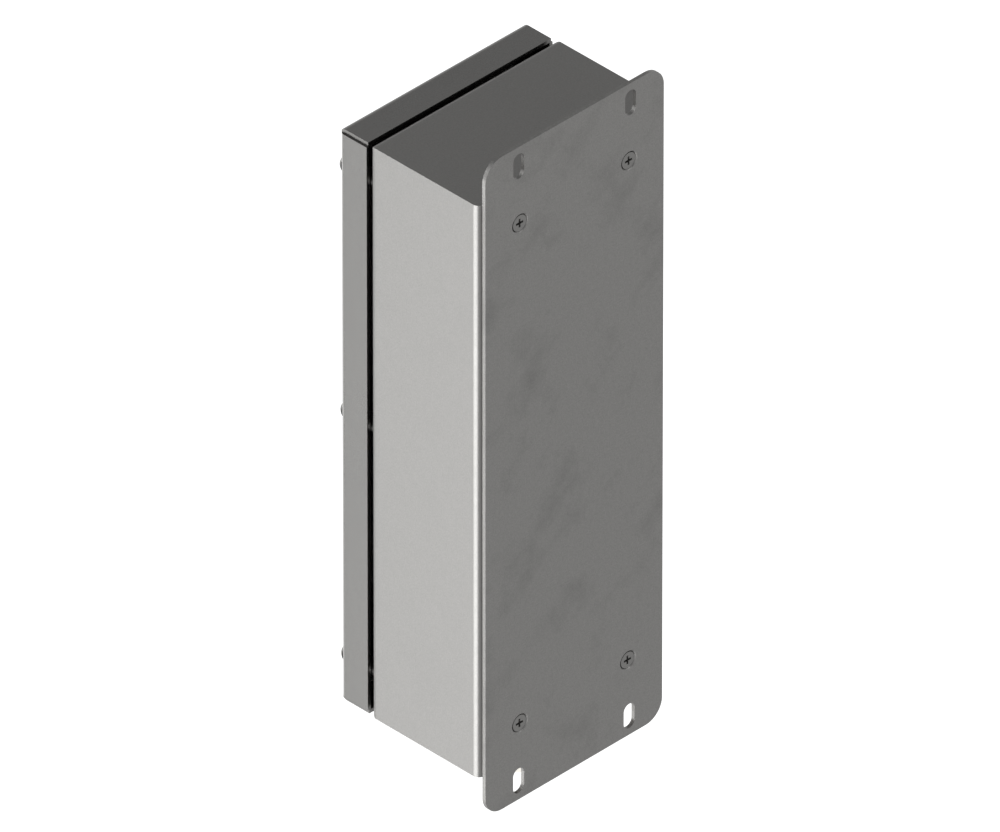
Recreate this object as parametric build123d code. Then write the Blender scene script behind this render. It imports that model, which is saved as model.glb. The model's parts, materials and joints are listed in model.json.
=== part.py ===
from build123d import *
import os

# Wall-mounted pushbutton station: a folded stainless box with a mounting plate, a shallow cover
# and three 22 mm pushbuttons. Millimetres, +Z up, the buttons face -Y. The origin is the centre
# of the mounting plate's rear face, which is the face that lies on the wall.

# Box and its sheet
case_width = 90.0
case_height = 240.0
case_depth = 52.6
sheet = 1.5
inner_bend = 1.0
outer_bend = inner_bend + sheet

# Shoulder and neck at the front of the box
neck_setback = 9.0
neck_corner = 8.0
neck_root_bend = 0.8

# Cover
cover_depth = 13.5
cover_gap = 1.45
corner_notch_width = 0.75
corner_notch_height = 1.75
gasket_thickness = 3.0
gasket_width = 3.6

# Mounting plate, narrower than the box and standing past its top and bottom
plate_side_inset = 1.85
plate_overhang = 17.0
plate_thickness = 1.5
plate_corner = 8.0
slot_width = 5.3
slot_length = 10.3
slot_side_inset = 16.15
slot_end_inset = 8.0

# Countersunk screws through the plate and the box, with a seal and a nut inside
plate_screw_side_inset = 18.65
plate_screw_end_inset = 15.0
plate_screw_d = 3.5
plate_screw_length = 10.0
plate_screw_sink = 0.25
plate_screw_rim = 0.35
countersink_d = 7.7
cross_width = 3.5
cross_arm = 0.9
cross_depth = 1.2
cross_taper = 15.0
plate_seal_d = 9.5
plate_seal_thickness = 1.2
nut_flats = 6.0
nut_height = 2.8

# Domed screws of the cover, their seals and the threaded pillars they go into
cover_screw_side_inset = 4.8
cover_screw_end_inset = 17.2
cover_screw_d = 4.0
cover_screw_length = 9.5
cover_head_d = 6.6
cover_head_height = 2.4
cover_head_shoulder_d = 4.4
cover_head_shoulder_height = 1.6
hex_socket_flats = 2.5
hex_socket_depth = 1.3
cover_seal_d = 6.8
cover_seal_thickness = 0.6
pillar_d = 5.8
pillar_spigot_d = 4.8
pillar_thread_depth = 10.0
pillar_chamfer = 0.7

# Clearances
fit_gap = 0.05
slide_gap = 0.1
free_gap = 0.2

# Pushbutton operator: bezel, neck, cap, plunger
button_pitch = 60.0
panel_hole_d = 22.3
key_width = 3.2
key_reach = 12.95
bezel_d = 29.5
bezel_front_d = 27.4
bezel_height = 11.0
bezel_floor = 1.4
bezel_rounding = 0.9
bezel_seal_d = 28.0
bezel_seal_thickness = 0.8
neck_d = 22.0
neck_length = 15.0
neck_web = 2.0
travel = 4.5
cap_d = 23.3
cap_height = 3.6
cap_dish = 0.5
cap_rounding = 0.7
stop_cap_rise = 5.0
stop_cap_pocket_d = 12.4
stop_cap_front_wall = 1.6
plunger_head_d = 18.8
plunger_head_thickness = 2.0
barrel_d = 18.2
barrel_wall = 1.0
barrel_length = 13.0
stem_d = 9.0
stem_beyond_web = 0.5
lip_seal_d = 23.6
lip_seal_thickness = 1.0
spring_wire_d = 1.0
spring_d = 15.6
spring_turns = 6
wire_sides = 8

# Lock nut behind the cover
lock_nut_d = 29.0
lock_nut_height = 4.5
lock_nut_notches = 6
lock_nut_notch_width = 3.5
lock_nut_notch_depth = 1.6

# Mounting adapter and its clamp screw
adapter_width = 30.0
adapter_height = 36.0
adapter_corner = 3.0
adapter_from_nut = 1.5
adapter_web = 2.0
adapter_hole_d = 12.0
clamp_screw_d = 3.0
clamp_head_d = 5.5
clamp_head_height = 2.0
slot_cut = 0.8

# Contact block
block_width = 18.0
block_height = 38.0
block_depth = 24.0
block_wall = 1.4
block_corner = 1.2
peg_d = 3.0
peg_length = 1.6
peg_offset = 13.0
slider_d = 9.8
slider_round_length = 7.0
slider_post_x = 7.2
slider_post_z = 6.0
slider_post_length = 9.5
bridge_offset = 10.0
bridge_length = 18.6
bridge_width = 5.0
bridge_thickness = 0.8
tip_d = 3.0
tip_height = 0.7
tip_offset = 7.5
contact_gap_closed = 0.05
contact_gap_pressed = 0.1
strip_width = 6.0
strip_thickness = 0.8
strip_inner_end = 5.8
ledge_inner_end = 10.0
terminal_screw_d = 3.4
terminal_screw_depth = 4.5
terminal_head_d = 5.6
terminal_head_height = 2.2
terminal_end_inset = 5.0
terminal_access_d = 6.2
wire_window_width = 5.0
wire_window_height = 3.6

# Cable gland under the box
gland_thread_d = 20.0
gland_bore_d = 13.0
gland_flats = 24.0
gland_hex_height = 6.0
gland_inner_length = 7.0
gland_lower_d = 18.5
gland_lower_length = 10.0
gland_seal_d = 26.0
gland_seal_thickness = 1.5
gland_nut_height = 3.5
insert_d = 15.6
insert_bore_d = 9.0
insert_length = 10.5
dome_height = 16.0
dome_gap = 1.5
dome_mouth_d = 13.0
dome_wall_end = 3.0
dome_rounding = 3.0

# Earthing point on the inside of the right-hand wall
earth_stud_d = 5.0
earth_stud_length = 12.0
earth_from_rear = 31.5
earth_from_bottom = 25.0
earth_washer_d = 10.0
earth_washer_thickness = 1.0
earth_nut_flats = 8.0
earth_nut_height = 4.0

# Planes worked out from the sizes above
case_rear_y = -plate_thickness
shoulder_y = case_rear_y - case_depth
cover_edge_y = shoulder_y - cover_gap
panel_y = cover_edge_y - cover_depth
panel_inner_y = panel_y + sheet
rear_wall_inner_y = case_rear_y - sheet
case_mid_y = (case_rear_y + shoulder_y) / 2
neck_width = case_width - 2 * neck_setback
neck_height = case_height - 2 * neck_setback
neck_front_y = panel_inner_y + gasket_thickness
cover_screw_x = case_width / 2 - cover_screw_side_inset
case_bottom_z = -case_height / 2
plate_width = case_width - 2 * plate_side_inset
plate_height = case_height + 2 * plate_overhang
slot_spacing_x = plate_width - 2 * slot_side_inset
slot_spacing_z = plate_height - 2 * slot_end_inset
plate_screw_spacing_x = case_width - 2 * plate_screw_side_inset
plate_screw_spacing_z = case_height - 2 * plate_screw_end_inset
cover_screw_z = case_height / 2 - cover_screw_end_inset
terminal_offset = block_height / 2 - terminal_end_inset

os.makedirs("parts", exist_ok=True)


def save(name, *solids):
    """Writes one sub-part, as one solid or as a group of separate solids."""
    shape = solids[0] if len(solids) == 1 else Compound(children=list(solids))
    export_step(shape, f"parts/{name}.step")


def slab(outline, y_front, y_rear):
    """An outline drawn in X and Z, extruded from y_front back to y_rear."""
    return extrude(Plane.XZ.offset(-y_front) * outline, y_front - y_rear)


def turned(*corners):
    """A solid turned about the Y axis from its (radius, y) corners."""
    return revolve(Polygon(*corners), Axis.Y)


def ring(outer_d, inner_d, y_front, y_rear):
    """A plain ring around the Y axis."""
    outer = outer_d / 2
    inner = inner_d / 2
    return turned((inner, y_front), (outer, y_front), (outer, y_rear), (inner, y_rear))


def rod(diameter, y_front, y_rear):
    """A plain round rod along the Y axis."""
    return turned((0, y_front), (diameter / 2, y_front), (diameter / 2, y_rear), (0, y_rear))


def turned_upright(*corners):
    """A solid turned about the Z axis from its (radius, z) corners."""
    return revolve(Plane.XZ * Polygon(*corners), Axis.Z)


def hexagon(flats):
    """A hexagon outline of the given width across flats."""
    return RegularPolygon(flats / 2, 6, major_radius=False)


def four_places(spacing_x, spacing_z):
    """The four (x, z) corners of a hole pattern centred on the plate."""
    return [(sx * spacing_x / 2, sz * spacing_z / 2) for sx in (-1, 1) for sz in (-1, 1)]


plate_screw_places = four_places(plate_screw_spacing_x, plate_screw_spacing_z)
slot_places = four_places(slot_spacing_x, slot_spacing_z)
cover_screw_places = [
    (side * cover_screw_x, row * cover_screw_z) for side in (-1, 1) for row in (-1, 0, 1)
]


def folded_box(width, height, y_front, y_rear, bend, bent_rear):
    """A block with rounded front edges and, if asked, rounded upright rear edges."""
    block = slab(Rectangle(width, height), y_front, y_rear)
    rounded = block.faces().sort_by(Axis.Y)[0].edges()
    if bent_rear:
        rear_edges = block.faces().sort_by(Axis.Y)[-1].edges()
        rounded = rounded + rear_edges.filter_by(Axis.Z)
    return fillet(rounded, bend)


def countersunk_hole(y_front, y_rear):
    """The part between two planes of a hole countersunk at 90 degrees from the wall side."""
    wide = countersink_d / 2
    narrow = plate_screw_d / 2 + free_gap
    cone = turned((0, narrow - wide), (narrow, narrow - wide), (wide, 0), (0, 0))
    hole = cone + rod(2 * narrow, y_front, narrow - wide)
    return hole & slab(Rectangle(countersink_d, countersink_d), y_front, y_rear)


def enclosure_body():
    """The welded box: bent rear edges, sharp top and bottom seams, shoulder and neck."""
    inner_width = case_width - 2 * sheet
    inner_height = case_height - 2 * sheet
    shell = folded_box(case_width, case_height, shoulder_y, case_rear_y, outer_bend, True)
    shell -= folded_box(
        inner_width, inner_height, shoulder_y + sheet, rear_wall_inner_y, inner_bend, True
    )
    neck_outline = RectangleRounded(neck_width, neck_height, neck_corner)
    mouth_outline = RectangleRounded(
        neck_width - 2 * sheet, neck_height - 2 * sheet, neck_corner - sheet
    )
    shell += slab(neck_outline, neck_front_y, shoulder_y + sheet)
    shell -= slab(mouth_outline, neck_front_y, shoulder_y + sheet)
    root_edges = [
        edge
        for edge in shell.edges().filter_by_position(Axis.Y, shoulder_y, shoulder_y)
        if abs(edge.center().X) < neck_width / 2 + fit_gap
        and abs(edge.center().Z) < neck_height / 2 + fit_gap
    ]
    shell = fillet(root_edges, neck_root_bend)
    for x, z in plate_screw_places:
        shell -= Pos(x, 0, z) * countersunk_hole(rear_wall_inner_y, case_rear_y)
    for x, z in cover_screw_places:
        hole = rod(pillar_spigot_d + 2 * fit_gap, shoulder_y, shoulder_y + sheet)
        shell -= Pos(x, 0, z) * hole
    gland_hole = Cylinder((gland_thread_d + 2 * free_gap) / 2, 3 * sheet)
    return shell - Pos(0, case_mid_y, case_bottom_z) * gland_hole


def mounting_plate():
    """The flat plate on the wall: four upright slots and four countersunk holes."""
    plate = slab(RectangleRounded(plate_width, plate_height, plate_corner), case_rear_y, 0)
    slot = slab(SlotOverall(slot_length, slot_width, rotation=90), case_rear_y, 0)
    for x, z in slot_places:
        plate -= Pos(x, 0, z) * slot
    for x, z in plate_screw_places:
        plate -= Pos(x, 0, z) * countersunk_hole(case_rear_y, 0)
    return plate


def plate_screw():
    """A countersunk screw, head to the wall side, sunk a little below the plate's face."""
    head_face_y = -plate_screw_sink
    rim_y = head_face_y - plate_screw_rim
    head_radius = countersink_d / 2 + rim_y - fit_gap
    shank_radius = plate_screw_d / 2
    cone_end_y = rim_y - (head_radius - shank_radius)
    screw = turned(
        (0, head_face_y),
        (head_radius, head_face_y),
        (head_radius, rim_y),
        (shank_radius, cone_end_y),
        (shank_radius, head_face_y - plate_screw_length),
        (0, head_face_y - plate_screw_length),
    )
    for long_side, short_side in ((cross_width, cross_arm), (cross_arm, cross_width)):
        arm = Plane.XZ.offset(-head_face_y) * Rectangle(long_side, short_side)
        screw -= extrude(arm, cross_depth, taper=cross_taper)
    return screw


def plate_seal():
    """The sealing washer between the box's rear wall and the nut."""
    front_y = rear_wall_inner_y - plate_seal_thickness
    return ring(plate_seal_d, plate_screw_d + 2 * free_gap, front_y, rear_wall_inner_y)


def plate_nut():
    """The hexagon nut on a plate screw, inside the box."""
    rear_y = rear_wall_inner_y - plate_seal_thickness
    nut = slab(hexagon(nut_flats), rear_y - nut_height, rear_y)
    return nut - rod(plate_screw_d + 2 * fit_gap, rear_y - nut_height, rear_y)


def operator_hole(y_front, y_rear, ease):
    """The round hole with a key notch that locates a pushbutton, smaller all round by ease."""
    round_hole = rod(panel_hole_d - 2 * ease, y_front, y_rear)
    notch = Pos(0, key_reach / 2 - ease) * Rectangle(key_width - 2 * ease, key_reach)
    return round_hole + slab(notch, y_front, y_rear)


button_places = [("top", button_pitch), ("middle", 0.0), ("bottom", -button_pitch)]


def cover():
    """The folded cover: a shallow pan with open corners, buttons' holes and screw holes."""
    pan = folded_box(case_width, case_height, panel_y, cover_edge_y, outer_bend, False)
    pan -= folded_box(
        case_width - 2 * sheet,
        case_height - 2 * sheet,
        panel_inner_y,
        cover_edge_y,
        inner_bend,
        False,
    )
    notch = slab(
        Rectangle(2 * corner_notch_width, 2 * corner_notch_height), panel_y, cover_edge_y
    )
    for x, z in four_places(case_width, case_height):
        pan -= Pos(x, 0, z) * notch
    for _, z in button_places:
        pan -= Pos(0, 0, z) * operator_hole(panel_y, panel_inner_y, 0)
    for x, z in cover_screw_places:
        pan -= Pos(x, 0, z) * rod(cover_screw_d + 2 * free_gap, panel_y, panel_inner_y)
    return pan


def cover_gasket():
    """The foam frame inside the cover that seats on the front edge of the neck."""
    middle_width = neck_width - sheet
    middle_height = neck_height - sheet
    middle_corner = neck_corner - sheet / 2
    outer = RectangleRounded(
        middle_width + gasket_width,
        middle_height + gasket_width,
        middle_corner + gasket_width / 2,
    )
    inner = RectangleRounded(
        middle_width - gasket_width,
        middle_height - gasket_width,
        middle_corner - gasket_width / 2,
    )
    return slab(outer - inner, panel_inner_y, neck_front_y)


def cover_pillar():
    """A threaded pillar, pressed into the shoulder, that holds the cover at its height."""
    pillar = rod(pillar_d, panel_inner_y, shoulder_y)
    pillar = chamfer(pillar.edges().group_by(Axis.Y)[0], pillar_chamfer)
    pillar += rod(pillar_spigot_d, shoulder_y, shoulder_y + sheet)
    thread = rod(cover_screw_d + 2 * fit_gap, panel_inner_y, panel_inner_y + pillar_thread_depth)
    return pillar - thread


def cover_screw():
    """A domed screw with a hexagon socket, which holds the cover on a pillar."""
    seat_y = panel_y - cover_seal_thickness
    head_radius = cover_head_d / 2
    top_y = seat_y - cover_head_height
    middle = (cover_head_shoulder_d / 2, seat_y - cover_head_shoulder_height)
    outline = Curve() + [
        ThreePointArc((0, top_y), middle, (head_radius, seat_y)),
        Polyline((head_radius, seat_y), (0, seat_y), (0, top_y)),
    ]
    screw = revolve(make_face(outline), Axis.Y)
    screw += rod(cover_screw_d, seat_y, seat_y + cover_screw_length)
    return screw - slab(hexagon(hex_socket_flats), top_y, top_y + hex_socket_depth)


def cover_screw_seal():
    """The washer under a cover screw's head."""
    front_y = panel_y - cover_seal_thickness
    return ring(cover_seal_d, cover_screw_d + 2 * slide_gap, front_y, panel_y)


# The pushbutton's own planes, measured from the cover's front face and growing inwards
flange_back = -bezel_seal_thickness
bezel_front = -bezel_height - bezel_seal_thickness
recess_floor = flange_back - bezel_floor
neck_end = sheet + neck_length
web_front = neck_end - neck_web
cap_end = bezel_front + cap_height
head_front = cap_end - plunger_head_thickness
stem_end = neck_end + stem_beyond_web
nut_end = sheet + lock_nut_height
adapter_front = nut_end + adapter_from_nut
adapter_web_front = neck_end + free_gap
adapter_end = adapter_web_front + adapter_web
block_end = adapter_end + block_depth
bridge_front = stem_end + bridge_offset
bridge_rear = bridge_front + bridge_thickness
clamp_middle = (adapter_front + adapter_web_front) / 2
bottom_aligned = (Align.CENTER, Align.CENTER, Align.MIN)


def bezel():
    """The metal ring in front of the cover and the neck that goes through it."""
    shell = turned(
        (0, bezel_front),
        (bezel_front_d / 2, bezel_front),
        (bezel_d / 2, flange_back),
        (neck_d / 2, flange_back),
        (neck_d / 2, neck_end),
        (0, neck_end),
    )
    front_rim = shell.edges().group_by(Axis.Y)[0]
    shell = fillet(front_rim, bezel_rounding)
    shell -= rod(cap_d + 4 * free_gap, bezel_front, recess_floor)
    shell -= rod(barrel_d + 2 * slide_gap, recess_floor, web_front)
    shell -= rod(stem_d + 2 * slide_gap, web_front, neck_end)
    key_height = key_reach - neck_d / 2
    key_middle = Pos(0, neck_d / 2 + key_height / 2 - slide_gap)
    key = slab(key_middle * Rectangle(key_width - free_gap, key_height), flange_back, sheet)
    return shell + key


def bezel_seal():
    """The flat seal between the bezel and the cover, notched for the key."""
    return rod(bezel_seal_d, flange_back, 0) - operator_hole(flange_back, 0, 0)


def lip_seal():
    """The ring seal on the bezel's floor, around the plunger's barrel."""
    front = recess_floor - lip_seal_thickness
    return ring(lip_seal_d, barrel_d + 2 * slide_gap, front, recess_floor)


def cap(rise):
    """A button cap with a dished face, which stands out of the bezel by rise."""
    radius = cap_d / 2
    front = bezel_front - rise
    dish_radius = (radius**2 + cap_dish**2) / (2 * cap_dish)
    solid = rod(cap_d, front, cap_end)
    solid -= Pos(0, front + cap_dish - dish_radius, 0) * Sphere(dish_radius)
    solid = fillet(solid.edges().group_by(Axis.Y)[0], cap_rounding)
    solid -= rod(plunger_head_d + 2 * fit_gap, head_front, cap_end)
    if rise > 0:
        pocket_front = front + cap_dish + stop_cap_front_wall
        solid -= rod(stop_cap_pocket_d, pocket_front, head_front)
    return solid


def plunger():
    """The head in the cap, the guided barrel around the spring and the stem through it."""
    head = rod(plunger_head_d, head_front, cap_end)
    barrel = ring(barrel_d, barrel_d - 2 * barrel_wall, cap_end, cap_end + barrel_length)
    return head + barrel + rod(stem_d, cap_end, stem_end)


def return_spring():
    """The compression spring between the plunger's head and the neck's web."""
    start = cap_end + spring_wire_d / 2 + fit_gap
    length = web_front - spring_wire_d / 2 - fit_gap - start
    coil_radius = (spring_d - spring_wire_d) / 2
    path = Helix(length / spring_turns, length, coil_radius, (0, start, 0), (0, 1, 0))
    section = Plane(path @ 0, z_dir=path % 0) * RegularPolygon(spring_wire_d / 2, wire_sides)
    return sweep(section, path=path, is_frenet=True)


def lock_nut():
    """The castellated ring nut that clamps the neck behind the cover."""
    nut = ring(lock_nut_d, neck_d + 2 * fit_gap, sheet, nut_end)
    notch_middle = lock_nut_d / 2 - lock_nut_notch_depth / 2
    notch_outline = Rectangle(lock_nut_notch_width, lock_nut_notch_depth + slide_gap)
    notch = slab(Pos(0, notch_middle) * notch_outline, sheet, nut_end)
    for step in range(lock_nut_notches):
        nut -= Rot(0, 360 / lock_nut_notches * step, 0) * notch
    return nut


def adapter():
    """The collar that sits on the neck and carries the contact block."""
    outline = RectangleRounded(adapter_width, adapter_height, adapter_corner)
    body = slab(outline, adapter_front, adapter_end)
    body -= rod(neck_d + 2 * slide_gap, adapter_front, adapter_web_front)
    body -= rod(adapter_hole_d, adapter_web_front, adapter_end)
    for side in (-1, 1):
        body -= Pos(0, 0, side * peg_offset) * rod(
            peg_d + 2 * fit_gap, adapter_web_front, adapter_end
        )
    clamp_hole = Cylinder(clamp_screw_d / 2 + fit_gap, adapter_height / 2, align=bottom_aligned)
    return body - Pos(0, clamp_middle, 0) * clamp_hole


def clamp_screw():
    """The slotted screw through the top of the adapter that grips the neck."""
    tip_z = neck_d / 2 + fit_gap
    head_z = adapter_height / 2
    shank = Cylinder(clamp_screw_d / 2, head_z - tip_z, align=bottom_aligned)
    head = Cylinder(clamp_head_d / 2, clamp_head_height, align=bottom_aligned)
    screw = Pos(0, 0, tip_z) * shank + Pos(0, 0, head_z) * head
    driver_slot = Box(clamp_head_d, slot_cut, clamp_head_height)
    screw -= Pos(0, 0, head_z + clamp_head_height) * driver_slot
    return Pos(0, clamp_middle, 0) * screw


def strip_front(normally_closed):
    """The front face of the contact strips, in front of or behind the moving bridge."""
    if normally_closed:
        return bridge_front - contact_gap_closed - 2 * tip_height - strip_thickness
    return bridge_rear + 2 * tip_height + travel + contact_gap_pressed


def contact_block(normally_closed):
    """The switch housing: hollow, with ledges for the strips, pegs and wire windows."""
    outline = RectangleRounded(block_width, block_height, block_corner)
    body = slab(outline, adapter_end, block_end)
    cavity_width = block_width - 2 * block_wall
    cavity_height = block_height - 2 * block_wall
    cavity_front = adapter_end + block_wall
    cavity_rear = block_end - block_wall
    body -= slab(Rectangle(cavity_width, cavity_height), cavity_front, cavity_rear)
    ledge_depth = cavity_height / 2 - ledge_inner_end
    ledge_z = ledge_inner_end + ledge_depth / 2
    ledge_end = strip_front(normally_closed)
    window_front = ledge_end + strip_thickness + slide_gap
    window_y = window_front + wire_window_height / 2
    body -= rod(slider_d + 2 * slide_gap, adapter_end, cavity_front)
    for side in (-1, 1):
        ledge = slab(Rectangle(cavity_width, ledge_depth), cavity_front, ledge_end)
        body += Pos(0, 0, side * ledge_z) * ledge
        body -= Pos(0, 0, side * terminal_offset) * rod(
            terminal_screw_d + 2 * fit_gap, ledge_end - terminal_screw_depth, ledge_end
        )
        body -= Pos(0, 0, side * terminal_offset) * rod(terminal_access_d, cavity_rear, block_end)
        window = Box(wire_window_width, wire_window_height, 2 * block_wall)
        body -= Pos(0, window_y, side * block_height / 2) * window
        peg = rod(peg_d, adapter_end - peg_length, adapter_end)
        body += Pos(0, 0, side * peg_offset) * peg
    return body


def slider():
    """The plastic carrier that the plunger's stem pushes, with a slot for the bridge."""
    round_end = stem_end + slider_round_length
    carrier = rod(slider_d, stem_end, round_end)
    carrier += slab(Rectangle(slider_post_x, slider_post_z), round_end, round_end + slider_post_length)
    slot = Rectangle(bridge_width + 2 * fit_gap, slider_post_z)
    return carrier - slab(slot, bridge_front - fit_gap, bridge_rear + fit_gap)


def bridge(normally_closed):
    """The metal bar with two contact tips that joins the fixed contacts."""
    bar = slab(Rectangle(bridge_width, bridge_length), bridge_front, bridge_rear)
    tip_front = bridge_front - tip_height if normally_closed else bridge_rear
    for side in (-1, 1):
        bar += Pos(0, 0, side * tip_offset) * rod(tip_d, tip_front, tip_front + tip_height)
    return bar


def fixed_contacts(normally_closed):
    """Two contact strips on the block's ledges, each with a tip that faces the bridge."""
    front = strip_front(normally_closed)
    rear = front + strip_thickness
    tip_front = rear if normally_closed else front - tip_height
    outer_end = block_height / 2 - block_wall - slide_gap
    strip_length = outer_end - strip_inner_end
    strips = []
    for side in (-1, 1):
        middle = Pos(0, 0, side * (strip_inner_end + strip_length / 2))
        strip = middle * slab(Rectangle(strip_width, strip_length), front, rear)
        strip += Pos(0, 0, side * tip_offset) * rod(tip_d, tip_front, tip_front + tip_height)
        hole = rod(terminal_screw_d + 2 * fit_gap, front, rear)
        strips.append(strip - Pos(0, 0, side * terminal_offset) * hole)
    return strips


def terminal_screw_pair(normally_closed):
    """The two slotted screws that hold the wires on the contact strips."""
    strip_rear = strip_front(normally_closed) + strip_thickness
    tip = strip_rear - strip_thickness - terminal_screw_depth
    head_end = strip_rear + terminal_head_height
    screw = rod(terminal_screw_d, tip, strip_rear) + rod(terminal_head_d, strip_rear, head_end)
    driver_slot = Rectangle(terminal_head_d, slot_cut)
    screw -= slab(driver_slot, head_end - terminal_head_height / 2, head_end)
    return [Pos(0, 0, side * terminal_offset) * screw for side in (-1, 1)]


def write_button(name, z, rise, normally_closed):
    """Writes one whole pushbutton and returns its clamp screw and terminal screws."""
    place = Pos(0, panel_y, z)
    save(f"bezel_{name}", place * bezel())
    save(f"bezel_seal_{name}", place * bezel_seal())
    save(f"lip_seal_{name}", place * lip_seal())
    save(f"lock_nut_{name}", place * lock_nut())
    save(f"cap_{name}", place * cap(rise))
    save(f"plunger_{name}", place * plunger())
    save(f"return_spring_{name}", place * return_spring())
    save(f"adapter_{name}", place * adapter())
    save(f"contact_block_{name}", place * contact_block(normally_closed))
    save(f"slider_{name}", place * slider())
    save(f"bridge_{name}", place * bridge(normally_closed))
    save(f"fixed_contacts_{name}", *[place * strip for strip in fixed_contacts(normally_closed)])
    clamp = place * clamp_screw()
    terminals = [place * screw for screw in terminal_screw_pair(normally_closed)]
    return clamp, terminals


# The cable gland's own levels, from the underside of the box downwards
seal_z = case_bottom_z - gland_seal_thickness
hex_z = seal_z - gland_hex_height
lower_z = hex_z - gland_lower_length
dome_top_z = hex_z - dome_gap
dome_end_z = dome_top_z - dome_height
insert_end_z = dome_end_z + dome_wall_end
inner_floor_z = case_bottom_z + sheet
gland_place = Pos(0, case_mid_y, 0)


def gland_body():
    """The gland's hexagon with a thread up into the box and one down into the dome nut."""
    body = extrude(Pos(0, 0, hex_z) * hexagon(gland_flats), gland_hex_height)
    body += turned_upright(
        (0, seal_z),
        (gland_thread_d / 2, seal_z),
        (gland_thread_d / 2, inner_floor_z + gland_inner_length),
        (0, inner_floor_z + gland_inner_length),
    )
    body += turned_upright(
        (0, lower_z), (gland_lower_d / 2, lower_z), (gland_lower_d / 2, hex_z), (0, hex_z)
    )
    insert_top_z = insert_end_z + insert_length
    return body - turned_upright(
        (0, lower_z),
        (insert_d / 2 + fit_gap, lower_z),
        (insert_d / 2 + fit_gap, insert_top_z),
        (gland_bore_d / 2, insert_top_z),
        (gland_bore_d / 2, inner_floor_z + gland_inner_length),
        (0, inner_floor_z + gland_inner_length),
    )


def gland_face_seal():
    """The flat seal between the gland's hexagon and the box."""
    outer = gland_seal_d / 2
    inner = gland_thread_d / 2 + fit_gap
    return turned_upright(
        (inner, seal_z), (outer, seal_z), (outer, case_bottom_z), (inner, case_bottom_z)
    )


def gland_lock_nut():
    """The hexagon nut on the gland's thread, inside the box."""
    nut = extrude(Pos(0, 0, inner_floor_z) * hexagon(gland_flats), gland_nut_height)
    bore = Cylinder(gland_thread_d / 2 + fit_gap, 2 * gland_nut_height)
    return nut - Pos(0, 0, inner_floor_z + gland_nut_height) * bore


def gland_insert():
    """The rubber sleeve that grips the cable."""
    outer = insert_d / 2
    inner = insert_bore_d / 2
    top_z = insert_end_z + insert_length
    return turned_upright((inner, insert_end_z), (outer, insert_end_z), (outer, top_z), (inner, top_z))


def gland_dome_nut():
    """The hexagon dome nut with a round mouth for the cable."""
    nut = extrude(Pos(0, 0, dome_end_z) * hexagon(gland_flats), dome_height)
    corner_radius = gland_flats / 3**0.5
    dome = turned_upright(
        (0, dome_end_z),
        (corner_radius, dome_end_z),
        (corner_radius, dome_top_z),
        (0, dome_top_z),
    )
    dome = fillet(dome.edges().group_by(Axis.Z)[0], dome_rounding)
    nut = nut & dome
    return nut - turned_upright(
        (0, dome_end_z),
        (dome_mouth_d / 2, dome_end_z),
        (dome_mouth_d / 2, insert_end_z),
        (gland_lower_d / 2 + fit_gap, insert_end_z),
        (gland_lower_d / 2 + fit_gap, dome_top_z),
        (0, dome_top_z),
    )


def write_earth_point():
    """Writes the stud welded inside the right-hand wall, its washer and its nut."""
    wall_x = case_width / 2 - sheet
    earth_y = case_rear_y - earth_from_rear
    earth_z = case_bottom_z + earth_from_bottom
    towards_middle = Plane((wall_x, earth_y, earth_z), z_dir=(-1, 0, 0))
    stud = extrude(towards_middle * Circle(earth_stud_d / 2), earth_stud_length)
    hole = Circle(earth_stud_d / 2 + fit_gap)
    washer = extrude(towards_middle * (Circle(earth_washer_d / 2) - hole), earth_washer_thickness)
    nut_plane = towards_middle.offset(earth_washer_thickness)
    nut = extrude(nut_plane * (hexagon(earth_nut_flats) - hole), earth_nut_height)
    save("earth_stud", stud)
    save("earth_washer", washer)
    save("earth_nut", nut)


def repeated(solid, places):
    """Copies of one solid at each (x, z) place."""
    return [Pos(x, 0, z) * solid for x, z in places]


save("enclosure_body", enclosure_body())
save("mounting_plate", mounting_plate())
save("plate_screws", *repeated(plate_screw(), plate_screw_places))
save("plate_seals", *repeated(plate_seal(), plate_screw_places))
save("plate_nuts", *repeated(plate_nut(), plate_screw_places))
save("cover", cover())
save("cover_gasket", cover_gasket())
save("cover_pillars", *repeated(cover_pillar(), cover_screw_places))
save("cover_screws", *repeated(cover_screw(), cover_screw_places))
save("cover_screw_seals", *repeated(cover_screw_seal(), cover_screw_places))
write_earth_point()

save("gland_body", gland_place * gland_body())
save("gland_face_seal", gland_place * gland_face_seal())
save("gland_lock_nut", gland_place * gland_lock_nut())
save("gland_insert", gland_place * gland_insert())
save("gland_dome_nut", gland_place * gland_dome_nut())

clamp_screws = []
terminal_screws = []
for name, z in button_places:
    is_stop = name == "bottom"
    clamp, terminals = write_button(name, z, stop_cap_rise if is_stop else 0.0, is_stop)
    clamp_screws.append(clamp)
    terminal_screws += terminals
save("clamp_screws", *clamp_screws)
save("terminal_screws", *terminal_screws)
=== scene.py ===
import json
import math

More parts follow.
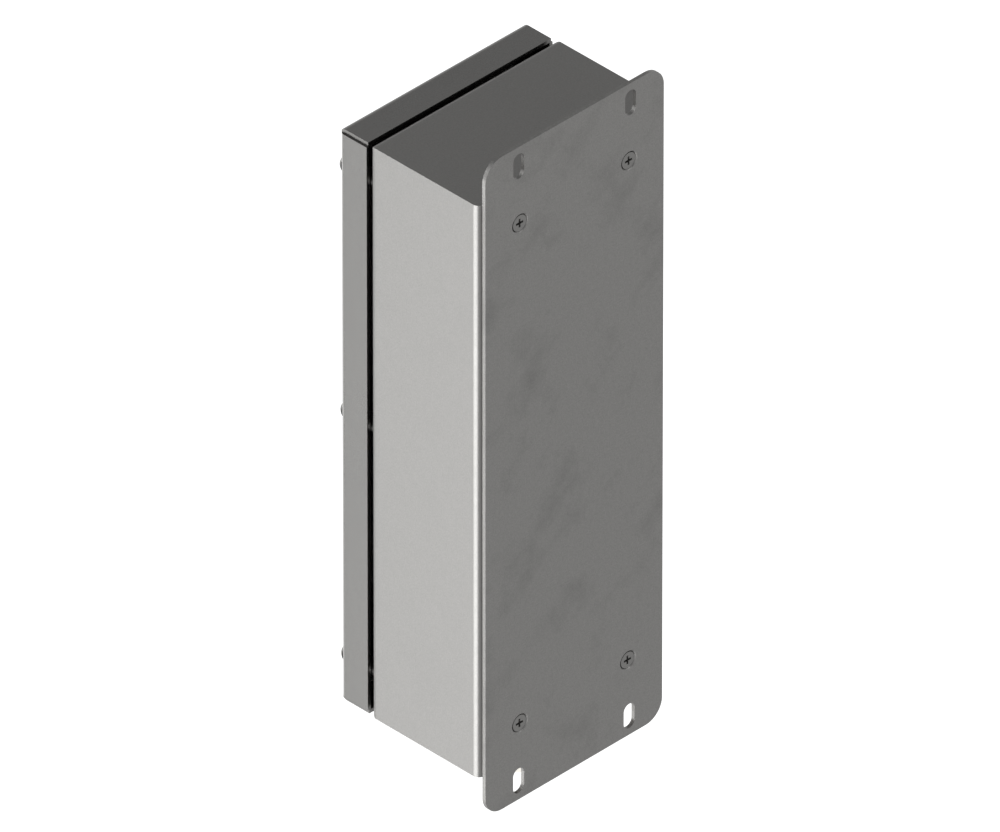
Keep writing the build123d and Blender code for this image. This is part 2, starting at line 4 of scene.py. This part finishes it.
import bpy
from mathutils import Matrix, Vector


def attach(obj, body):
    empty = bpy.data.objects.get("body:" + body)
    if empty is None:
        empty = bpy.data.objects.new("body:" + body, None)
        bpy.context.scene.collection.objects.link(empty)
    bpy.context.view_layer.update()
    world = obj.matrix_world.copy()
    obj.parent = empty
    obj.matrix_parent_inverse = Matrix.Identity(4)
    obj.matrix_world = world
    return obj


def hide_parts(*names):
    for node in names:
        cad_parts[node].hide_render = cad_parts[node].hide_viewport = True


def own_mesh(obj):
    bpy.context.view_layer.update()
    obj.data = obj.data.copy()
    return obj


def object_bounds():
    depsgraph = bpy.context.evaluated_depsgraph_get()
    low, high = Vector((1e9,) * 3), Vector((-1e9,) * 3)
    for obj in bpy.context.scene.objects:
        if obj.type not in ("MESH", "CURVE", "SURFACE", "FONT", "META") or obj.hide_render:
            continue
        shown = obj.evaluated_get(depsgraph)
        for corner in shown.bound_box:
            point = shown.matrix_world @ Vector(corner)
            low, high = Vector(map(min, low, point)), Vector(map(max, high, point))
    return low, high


MM = 0.001
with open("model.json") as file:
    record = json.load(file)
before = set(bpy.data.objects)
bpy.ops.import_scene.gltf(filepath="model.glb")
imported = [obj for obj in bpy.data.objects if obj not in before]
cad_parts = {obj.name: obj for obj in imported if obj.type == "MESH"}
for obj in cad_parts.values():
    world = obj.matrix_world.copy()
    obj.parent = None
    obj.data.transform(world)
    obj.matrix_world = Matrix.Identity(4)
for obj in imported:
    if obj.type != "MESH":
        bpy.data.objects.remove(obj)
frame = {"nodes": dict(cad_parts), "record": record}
cad_low, cad_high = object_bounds()
scene = bpy.context.scene


# Shader node helpers


def put(tree, kind, inputs=None, **settings):
    """Adds a node, sets its properties, and sets or links its inputs by name or number."""
    node = tree.nodes.new(kind)
    for name, value in settings.items():
        setattr(node, name, value)
    for label, value in (inputs or {}).items():
        if isinstance(value, bpy.types.NodeSocket):
            tree.links.new(value, node.inputs[label])
        else:
            node.inputs[label].default_value = value
    return node


def combine(tree, operation, first, second):
    """A Math node of two values or sockets; returns its output."""
    return put(tree, "ShaderNodeMath", {0: first, 1: second}, operation=operation).outputs[0]


def spread(tree, value, low, high, new_low, new_high):
    """A Map Range node from low..high to new_low..new_high; returns its output."""
    limits = {"From Min": low, "From Max": high, "To Min": new_low, "To Max": new_high}
    return put(tree, "ShaderNodeMapRange", {"Value": value, **limits}).outputs["Result"]


def object_point(tree):
    """The point on the surface in the part's frame, in metres."""
    return put(tree, "ShaderNodeTexCoord").outputs["Object"]


def noise(tree, point, scale, detail, roughness=0.5):
    """A noise value around 0.5 at a point."""
    inputs = {"Vector": point, "Scale": scale, "Detail": detail, "Roughness": roughness}
    return put(tree, "ShaderNodeTexNoise", inputs).outputs["Fac"]


# Shared effects; sizes, widths and reaches are in millimetres

GRAIN_SIZE = 0.4
GRAIN_DETAIL = 2.0
GRAIN_COARSE_SCALE = 0.3
GRAIN_COARSE_SHARE = 0.3
GRAIN_RANGE = (0.4, 0.9)
SMUDGE_SIZE = 26.0
SMUDGE_DETAIL = 8.0
SMUDGE_ROUGHNESS = 0.66
SMUDGE_RANGE = (0.515, 0.80)
WIPE_SLANT = math.radians(-50.0)
WIPE_LENGTH = 1.1
EDGE_WIDTH_METAL = 0.35
EDGE_WIDTH_PLASTIC = 0.4
EDGE_SAMPLES = 6
EDGE_TURN_RANGE = (0.995, 0.80)
EDGE_PATCH_SCALE = 420.0
EDGE_PATCH_DETAIL = 3.0
EDGE_PATCH_RANGE = (0.3, 0.6)
EDGE_PATCH_LEAST = 0.5
# Reach, samples and range of the ambient-occlusion mask for painted shade in corners
CORNER_REACH = 3.0
CORNER_SAMPLES = 8
CORNER_RANGE = (0.95, 0.55)
SKIN_GRAIN_SIZE = 0.25
SKIN_TONE_SCALE = 90.0
SKIN_TONE_DETAIL = 3.0
SKIN_TONE_RANGE = (0.3, 0.7)


def effect_group(name, inputs, outputs):
    """An empty shader node group with named value inputs and outputs."""
    tree = bpy.data.node_groups.new(name, "ShaderNodeTree")
    for label, default in inputs.items():
        socket = tree.interface.new_socket(label, in_out="INPUT", socket_type="NodeSocketFloat")
        socket.default_value = default
    for label in outputs:
        tree.interface.new_socket(label, in_out="OUTPUT", socket_type="NodeSocketFloat")
    return tree, tree.nodes.new("NodeGroupInput"), tree.nodes.new("NodeGroupOutput")


def effect(tree, group, **values):
    """Places a shared effect in a material with its own values."""
    node = tree.nodes.new("ShaderNodeGroup")
    node.node_tree = group
    for name, value in values.items():
        node.inputs[name.replace("_", " ").title()].default_value = value
    return node


def make_satin_grain():
    """The fine even grain of satin metal, in object coordinates."""
    tree, start, end = effect_group("satin_grain", {"Grain Size": GRAIN_SIZE}, ("Height", "Tone"))
    point = object_point(tree)
    scale = combine(tree, "DIVIDE", 1 / MM, start.outputs["Grain Size"])
    fine = noise(tree, point, scale, GRAIN_DETAIL)
    coarse_scale = combine(tree, "MULTIPLY", scale, GRAIN_COARSE_SCALE)
    coarse = noise(tree, point, coarse_scale, GRAIN_DETAIL)
    mixed = combine(tree, "ADD", fine, combine(tree, "MULTIPLY", coarse, GRAIN_COARSE_SHARE))
    tree.links.new(mixed, end.inputs["Height"])
    tree.links.new(spread(tree, mixed, *GRAIN_RANGE, 0.0, 1.0), end.inputs["Tone"])
    return tree


def make_wiped_smudges():
    """Sparse smudges, drawn out along a slant as if wiped, as a mask from 0 to 1."""
    tree, start, end = effect_group("wiped_smudges", {"Smudge Size": SMUDGE_SIZE}, ("Mask",))
    slant = {"Rotation": (0.0, WIPE_SLANT, 0.0), "Scale": (1.0, 1.0, WIPE_LENGTH)}
    point_inputs = {"Vector": object_point(tree), **slant}
    point = put(tree, "ShaderNodeMapping", point_inputs, vector_type="TEXTURE").outputs["Vector"]
    scale = combine(tree, "DIVIDE", 1 / MM, start.outputs["Smudge Size"])
    cloud = noise(tree, point, scale, SMUDGE_DETAIL, SMUDGE_ROUGHNESS)
    mask = spread(tree, cloud, *SMUDGE_RANGE, 0.0, 1.0)
    tree.links.new(mask, end.inputs["Mask"])
    return tree


def make_worn_edges():
    """A mask that is 1 on outer edges, broken up a little, and 0 on flat faces."""
    tree, start, end = effect_group("worn_edges", {"Edge Width": EDGE_WIDTH_METAL}, ("Edge",))
    radius = combine(tree, "MULTIPLY", start.outputs["Edge Width"], MM)
    bevel = put(tree, "ShaderNodeBevel", {"Radius": radius}, samples=EDGE_SAMPLES)
    flat = put(tree, "ShaderNodeNewGeometry").outputs["Normal"]
    normals = {0: bevel.outputs["Normal"], 1: flat}
    turn = put(tree, "ShaderNodeVectorMath", normals, operation="DOT_PRODUCT")
    edge = spread(tree, turn.outputs["Value"], *EDGE_TURN_RANGE, 0.0, 1.0)
    patches = noise(tree, object_point(tree), EDGE_PATCH_SCALE, EDGE_PATCH_DETAIL)
    patchy = spread(tree, patches, *EDGE_PATCH_RANGE, EDGE_PATCH_LEAST, 1.0)
    tree.links.new(combine(tree, "MULTIPLY", edge, patchy), end.inputs["Edge"])
    return tree


def make_corner_shade_mask():
    """Painted shade: a mask, from ambient occlusion, that is 1 deep in grooves, slots and recesses
    and 0 on open faces.
    """
    tree, start, end = effect_group("painted_corner_shade", {"Reach": CORNER_REACH}, ("Shade",))
    reach = combine(tree, "MULTIPLY", start.outputs["Reach"], MM)
    distance = {"Distance": reach}
    openness = put(tree, "ShaderNodeAmbientOcclusion", distance, samples=CORNER_SAMPLES)
    shade_mask = spread(tree, openness.outputs["AO"], *CORNER_RANGE, 0.0, 1.0)
    tree.links.new(shade_mask, end.inputs["Shade"])
    return tree


def make_moulded_skin():
    """The faint spark-eroded skin of moulded plastic and rubber."""
    inputs = {"Grain Size": SKIN_GRAIN_SIZE}
    tree, start, end = effect_group("moulded_skin", inputs, ("Height", "Tone"))
    scale = combine(tree, "DIVIDE", 1 / MM, start.outputs["Grain Size"])
    point = object_point(tree)
    pebble = put(tree, "ShaderNodeTexVoronoi", {"Vector": point, "Scale": scale})
    tree.links.new(pebble.outputs["Distance"], end.inputs["Height"])
    tone = noise(tree, point, SKIN_TONE_SCALE, SKIN_TONE_DETAIL)
    tree.links.new(tone, end.inputs["Tone"])
    return tree


SATIN_GRAIN = make_satin_grain()
WIPED_SMUDGES = make_wiped_smudges()
WORN_EDGES = make_worn_edges()
CORNER_SHADE_GROUP = make_corner_shade_mask()
MOULDED_SKIN = make_moulded_skin()


# Materials

BLACK = (0.0, 0.0, 0.0)
EDGE_POLISH = 0.25
EDGE_LIGHTENING = 1.5
EDGE_POLISH_PLASTIC = 0.35
EDGE_LIGHTENING_PLASTIC = 1.25
EDGE_LIFT_PLASTIC = 0.02
BUMP_DISTANCE = 0.02
COAT_ROUGHNESS = 0.12
SKIN_TONE_SPREAD = 0.1
SKIN_ROUGHNESS_SPREAD = 0.04


def blank_material(name):
    """A material with one Principled shader; returns (material, tree, shader)."""
    material = bpy.data.materials.new(name)
    material.use_nodes = True
    tree = material.node_tree
    return material, tree, tree.nodes["Principled BSDF"]


def tone_mix(tree, mask, dark, light):
    """A colour that goes from dark to light with the mask; returns its socket."""
    node = put(tree, "ShaderNodeMix", {0: mask}, data_type="RGBA")
    colour_inputs = [socket for socket in node.inputs if socket.type == "RGBA"]
    for socket, colour in zip(colour_inputs, (dark, light)):
        if isinstance(colour, bpy.types.NodeSocket):
            tree.links.new(colour, socket)
        else:
            socket.default_value = (*colour, 1.0)
    return [socket for socket in node.outputs if socket.type == "RGBA"][0]


def shade(colour, factor):
    """A colour made lighter or darker by a factor."""
    return tuple(channel * factor for channel in colour)


def bump_from(tree, shader, height, strength):
    """Feeds a height into a Bump node and that into the shader's normal."""
    inputs = {"Strength": strength, "Distance": BUMP_DISTANCE * MM, "Height": height}
    bump = put(tree, "ShaderNodeBump", inputs)
    tree.links.new(bump.outputs["Normal"], shader.inputs["Normal"])


def dulled(tree, mask, amount, colour):
    """A colour darkened by an amount where the mask is 1; returns its socket."""
    return tone_mix(tree, combine(tree, "MULTIPLY", mask, amount), colour, BLACK)


def satin_metal(
    name,
    colour,
    roughness,
    grain,
    smudges=0.0,
    uneven=0.03,
    grain_size=GRAIN_SIZE,
    bump=0.12,
    corner_painted_shade=0.35,
):
    """Satin sheet or turned metal: fine grain, smudges, polished edges and painted shade in
    corners.
    """
    material, tree, shader = blank_material(name)
    shader.inputs["Metallic"].default_value = 1.0
    fine = effect(tree, SATIN_GRAIN, grain_size=grain_size).outputs
    wiped = effect(tree, WIPED_SMUDGES, smudge_size=SMUDGE_SIZE).outputs["Mask"]
    worn = effect(tree, WORN_EDGES, edge_width=EDGE_WIDTH_METAL).outputs["Edge"]
    corner = effect(tree, CORNER_SHADE_GROUP, reach=CORNER_REACH).outputs["Shade"]
    plain = tone_mix(tree, fine["Tone"], shade(colour, 1 - grain), shade(colour, 1 + grain))
    wiped_tone = dulled(tree, wiped, smudges, plain)
    edge_mask = combine(tree, "MULTIPLY", worn, EDGE_POLISH)
    worn_tone = tone_mix(tree, edge_mask, wiped_tone, shade(colour, EDGE_LIGHTENING))
    # Painted shade: the colour is darkened deep in grooves, slots and recesses by the corner mask
    tree.links.new(dulled(tree, corner, corner_painted_shade, worn_tone), shader.inputs["Base Color"])
    rough = spread(tree, fine["Tone"], 0.0, 1.0, roughness + uneven, roughness - uneven)
    tree.links.new(rough, shader.inputs["Roughness"])
    bump_from(tree, shader, fine["Height"], bump)
    return material


def moulded_plastic(name, colour, roughness, coat=0.0, grain_size=SKIN_GRAIN_SIZE, bump=0.15):
    """Moulded plastic or rubber with a faint skin and slightly lighter edges."""
    material, tree, shader = blank_material(name)
    shader.inputs["Coat Weight"].default_value = coat
    shader.inputs["Coat Roughness"].default_value = COAT_ROUGHNESS
    skin = effect(tree, MOULDED_SKIN, grain_size=grain_size)
    worn = effect(tree, WORN_EDGES, edge_width=EDGE_WIDTH_PLASTIC)
    darker, brighter = shade(colour, 1 - SKIN_TONE_SPREAD), shade(colour, 1 + SKIN_TONE_SPREAD)
    plain = tone_mix(tree, skin.outputs["Tone"], darker, brighter)
    edge_mask = combine(tree, "MULTIPLY", worn.outputs["Edge"], EDGE_POLISH_PLASTIC)
    lighter = tuple(
        channel * EDGE_LIGHTENING_PLASTIC + EDGE_LIFT_PLASTIC for channel in colour
    )
    tree.links.new(tone_mix(tree, edge_mask, plain, lighter), shader.inputs["Base Color"])
    smoother, rougher = roughness - SKIN_ROUGHNESS_SPREAD, roughness + SKIN_ROUGHNESS_SPREAD
    rough = spread(tree, skin.outputs["Tone"], *SKIN_TONE_RANGE, smoother, rougher)
    tree.links.new(rough, shader.inputs["Roughness"])
    bump_from(tree, shader, skin.outputs["Height"], bump)
    return material


STEEL = (0.40, 0.395, 0.385)
# Painted light: the box and the plate are the same steel as the cover, given lighter copies of its
# colour so that their faces come out brighter
BOX_PAINTED_LIGHT = 1.015
PLATE_PAINTED_LIGHT = 1.09
SPRING_WIRE = (0.42, 0.42, 0.42)
CHROME = (0.62, 0.62, 0.63)
NICKEL = (0.44, 0.425, 0.395)
BRASS = (0.68, 0.50, 0.24)
CONTACT_BRASS = (0.70, 0.56, 0.32)
RUBBER = (0.022, 0.022, 0.022)
FOAM = (0.10, 0.10, 0.10)
DARK_PLASTIC = (0.025, 0.025, 0.026)
GREY_PLASTIC = (0.36, 0.37, 0.37)
CAP_GREEN = (0.012, 0.22, 0.055)
CAP_BLACK = (0.018, 0.018, 0.019)
CAP_RED = (0.42, 0.012, 0.010)
SHEET_GRAIN_SIZE = 0.6
SMALL_GRAIN_SIZE = 0.2

# Lit copies of the one steel colour: painted light on the box and the plate
box_steel_painted_light = shade(STEEL, BOX_PAINTED_LIGHT)
plate_steel_painted_light = shade(STEEL, PLATE_PAINTED_LIGHT)
box_finish = {
    "roughness": 0.39,
    "grain": 0.08,
    "smudges": 0.03,
    "uneven": 0.02,
    "grain_size": SHEET_GRAIN_SIZE,
}
cover_finish = {
    "roughness": 0.25,
    "grain": 0.08,
    "smudges": 0.03,
    "uneven": 0.005,
    "grain_size": SHEET_GRAIN_SIZE,
    "bump": 0.015,
}
plate_finish = {
    "roughness": 0.42,
    "grain": 0.115,
    "smudges": 0.24,
    "grain_size": SHEET_GRAIN_SIZE,
    # strong painted shade in the plate's slots and screw recesses
    "corner_painted_shade": 0.7,
}
screw_finish = {"roughness": 0.36, "grain": 0.04, "grain_size": SMALL_GRAIN_SIZE}
wire_finish = {"roughness": 0.30, "grain": 0.04, "grain_size": SMALL_GRAIN_SIZE}
chrome_finish = {"roughness": 0.20, "grain": 0.03, "grain_size": SMALL_GRAIN_SIZE, "bump": 0.05}
nickel_finish = {"roughness": 0.34, "grain": 0.04, "grain_size": SMALL_GRAIN_SIZE, "bump": 0.06}
brass_finish = {"roughness": 0.28, "grain": 0.05, "grain_size": SMALL_GRAIN_SIZE}
contact_finish = {"roughness": 0.30, "grain": 0.05, "grain_size": SMALL_GRAIN_SIZE}
foam_finish = {"roughness": 0.85, "grain_size": 0.5, "bump": 0.5}
cap_finish = {"roughness": 0.28, "coat": 0.4, "bump": 0.05}

materials = {
    "satin_stainless": satin_metal("satin_stainless_box", box_steel_painted_light, **box_finish),
    "stainless_screw": satin_metal("stainless_screw", STEEL, **screw_finish),
    "spring_steel": satin_metal("spring_steel", SPRING_WIRE, **wire_finish),
    "chromed_bezel": satin_metal("chromed_bezel", CHROME, **chrome_finish),
    "nickel_brass": satin_metal("nickel_brass", NICKEL, **nickel_finish),
    "brass_plain": satin_metal("plain_brass", BRASS, **brass_finish),
    "contact_brass": satin_metal("contact_brass", CONTACT_BRASS, **contact_finish),
    "black_rubber": moulded_plastic("black_rubber", RUBBER, roughness=0.65),
    "grey_foam": moulded_plastic("grey_foam", FOAM, **foam_finish),
    "black_plastic": moulded_plastic("black_plastic", DARK_PLASTIC, roughness=0.45),
    "grey_plastic": moulded_plastic("grey_plastic", GREY_PLASTIC, roughness=0.45),
    "green_cap": moulded_plastic("green_cap", CAP_GREEN, **cap_finish),
    "black_cap": moulded_plastic("black_cap", CAP_BLACK, **cap_finish),
    "red_cap": moulded_plastic("red_cap", CAP_RED, **cap_finish),
}
own_finish = {
    "cover": satin_metal("satin_stainless_cover", STEEL, **cover_finish),
    "mounting_plate": satin_metal("satin_stainless_plate", plate_steel_painted_light, **plate_finish),
}

slot_of = {row["node"]: row["material_slot"] for row in frame["record"]["subparts"]}
for node_name, node_object in frame["nodes"].items():
    finish = own_finish.get(node_name, materials[slot_of[node_name]])
    node_object.data.materials.clear()
    node_object.data.materials.append(finish)


# Return springs, shown as copies of their meshes carried by the station


def return_spring(position):
    """Shows a copy of the spring's mesh, carried by the station, in place of the CAD node."""
    node = f"return_spring_{position}"
    spring = bpy.data.objects.new(f"coil_spring_{position}", frame["nodes"][node].data.copy())
    scene.collection.objects.link(spring)
    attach(spring, "station")
    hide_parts(node)
    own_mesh(spring)


for button_position in ("top", "middle", "bottom"):
    return_spring(button_position)


# Floor, world and lamps

FLOOR_DROP = 3.3
FLOOR_SIZE = 40.0
FLOOR_GLOW_CAMERA = 0.9
FLOOR_GLOW_GLOSSY = 0.06
WORLD_HORIZON = 0.55
WORLD_OVERHEAD = 0.20
WORLD_DIFFUSE = 0.4
HORIZON_HEIGHT = 0.1
OVERHEAD_HEIGHT = 0.6
FLOOR_COLOUR = (0.8, 0.8, 0.8, 1)
FLOOR_ROUGHNESS = 0.9
WHITE = (1, 1, 1, 1)


def ray_masks(tree):
    """Two masks: 1 for rays from the camera, and 1 for glossy and transmitted rays."""
    path = put(tree, "ShaderNodeLightPath").outputs
    gloss = combine(tree, "ADD", path["Is Glossy Ray"], path["Is Transmission Ray"])
    return path["Is Camera Ray"], gloss


def make_floor():
    """A plain pale floor well below the station: lit and shadowed, clear when seen from below."""
    bpy.ops.mesh.primitive_plane_add(size=FLOOR_SIZE, location=(0, 0, cad_low.z - FLOOR_DROP))
    floor = bpy.context.object
    floor.name = "studio_floor"
    material, tree, shader = blank_material("pale_floor")
    shader.inputs["Base Color"].default_value = FLOOR_COLOUR
    shader.inputs["Roughness"].default_value = FLOOR_ROUGHNESS
    camera_ray, gloss_ray = ray_masks(tree)
    camera_part = combine(tree, "MULTIPLY", camera_ray, FLOOR_GLOW_CAMERA)
    gloss_part = combine(tree, "MULTIPLY", gloss_ray, FLOOR_GLOW_GLOSSY)
    shader.inputs["Emission Color"].default_value = WHITE
    glow = combine(tree, "ADD", camera_part, gloss_part)
    tree.links.new(glow, shader.inputs["Emission Strength"])
    below = put(tree, "ShaderNodeNewGeometry").outputs["Backfacing"]
    clear = put(tree, "ShaderNodeBsdfTransparent").outputs[0]
    either = {0: below, 1: shader.outputs[0], 2: clear}
    surface = put(tree, "ShaderNodeMixShader", either).outputs[0]
    tree.links.new(surface, tree.nodes["Material Output"].inputs["Surface"])
    floor.data.materials.append(material)


def make_world():
    """A pale surround: white to the camera, and to gloss a studio that is dimmer overhead."""
    world = bpy.data.worlds.new("studio")
    scene.world = world
    world.use_nodes = True
    tree = world.node_tree
    back = tree.nodes["Background"]
    back.inputs["Color"].default_value = WHITE
    direction = put(tree, "ShaderNodeTexCoord").outputs["Generated"]
    height = put(tree, "ShaderNodeSeparateXYZ", {0: direction}).outputs["Z"]
    studio = spread(
        tree, height, HORIZON_HEIGHT, OVERHEAD_HEIGHT, WORLD_HORIZON, WORLD_OVERHEAD
    )
    camera_ray, gloss_ray = ray_masks(tree)
    seen = spread(tree, gloss_ray, 0.0, 1.0, WORLD_DIFFUSE, studio)
    strength = spread(tree, camera_ray, 0.0, 1.0, seen, 1.0)
    tree.links.new(strength, back.inputs["Strength"])


def soft_box(name, place, aim, width, height, power):
    """A rectangular area lamp that points at aim and isn't seen itself."""
    data = bpy.data.lights.new(name, "AREA")
    data.shape = "RECTANGLE"
    data.size = width
    data.size_y = height
    data.energy = power
    lamp = bpy.data.objects.new(name, data)
    scene.collection.objects.link(lamp)
    lamp.location = place
    lamp.rotation_euler = (Vector(aim) - Vector(place)).to_track_quat("-Z", "Y").to_euler()
    lamp.visible_camera = False


make_world()
make_floor()
soft_box(
    "key",
    place=(2.8, -0.245, -2.1),
    aim=(0, -0.245, -2.1),
    width=3.93,
    height=2.6,
    power=79.0,
)
soft_box(
    "front_fill",
    place=(0.7, -1.9, 0.5),
    aim=(0, 0, 0),
    width=1.2,
    height=1.2,
    power=14.0,
)
soft_box(
    "low_front",
    place=(-0.05, -2.2, -1.6),
    aim=(-0.05, 0, -1.6),
    width=2.5,
    height=1.0,
    power=6.3,
)
soft_box(
    "rear_fill",
    place=(-0.9, 1.6, 0.9),
    aim=(0, 0, 0),
    width=1.2,
    height=1.2,
    power=5.0,
)


# Camera: a long lens from the rear right, 35 degrees above the horizon, as in the photograph

FRAME_WIDTH = 343.66 * MM
LENS = 1400.0
SENSOR = 36.0
CLIP_REACH = 3.0
AIM = Vector((0.0, -36.08 * MM, -6.69 * MM))
AZIMUTH = math.radians(135.0)
ELEVATION = math.asin(1 / math.sqrt(3))


def make_camera():
    """A camera whose frame is as wide as the photograph's at the station."""
    data = bpy.data.cameras.new("view")
    data.lens = LENS
    data.sensor_width = SENSOR
    camera = bpy.data.objects.new("view", data)
    scene.collection.objects.link(camera)
    back = Vector(
        (
            math.sin(AZIMUTH) * math.cos(ELEVATION),
            -math.cos(AZIMUTH) * math.cos(ELEVATION),
            math.sin(ELEVATION),
        )
    )
    distance = FRAME_WIDTH * LENS / SENSOR
    camera.location = AIM + back * distance
    camera.rotation_mode = "QUATERNION"
    camera.rotation_quaternion = (-back).to_track_quat("-Z", "Y")
    data.clip_end = CLIP_REACH * distance
    scene.camera = camera


make_camera()
scene.view_settings.view_transform = "Standard"
